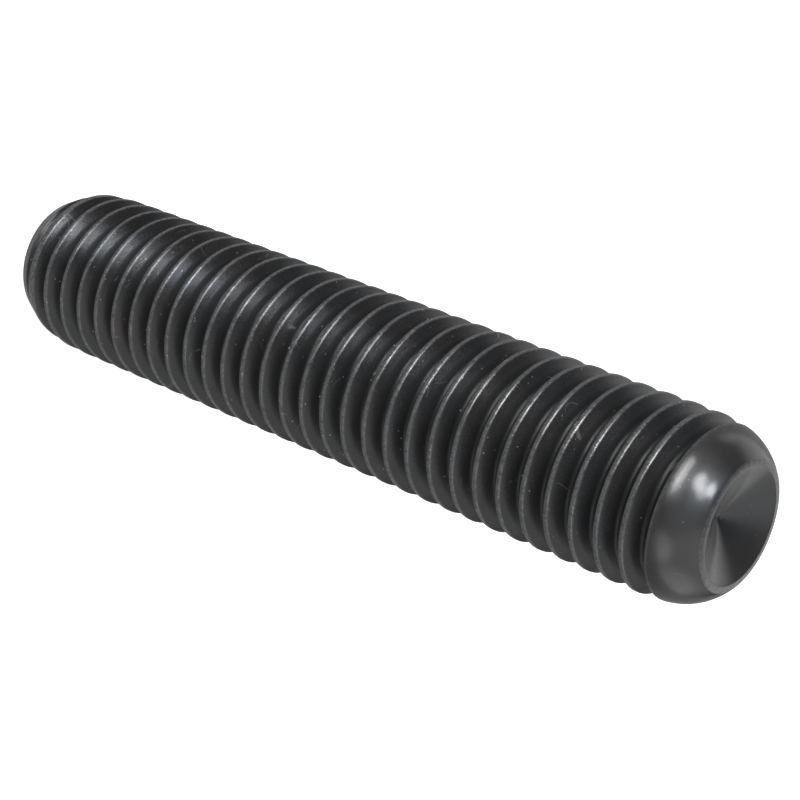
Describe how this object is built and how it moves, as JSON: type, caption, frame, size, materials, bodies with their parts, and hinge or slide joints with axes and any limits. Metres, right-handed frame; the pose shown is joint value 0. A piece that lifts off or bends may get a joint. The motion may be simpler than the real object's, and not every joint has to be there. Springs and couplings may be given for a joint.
{
  "type": "grub set screw",
  "caption": "Headless grub screw of black oxide steel with a full-length left-hand thread, a hexagon socket in one end and a cup point at the other.",
  "frame": {"origin": "centre of the flat ring face at the socket end, on the axis, where the screw stands", "axes": "+Z along the axis from the socket end to the cup point; the hexagon's flats face +X and -X"},
  "size_m": [0.0126, 0.0126, 0.0635],
  "materials": {
    "black_oxide_steel": "black oxide over rolled and turned alloy steel, satin with a thin oil film"
  },
  "bodies": {
    "root": {"set_screw": "black_oxide_steel"}
  },
  "joints": []
}
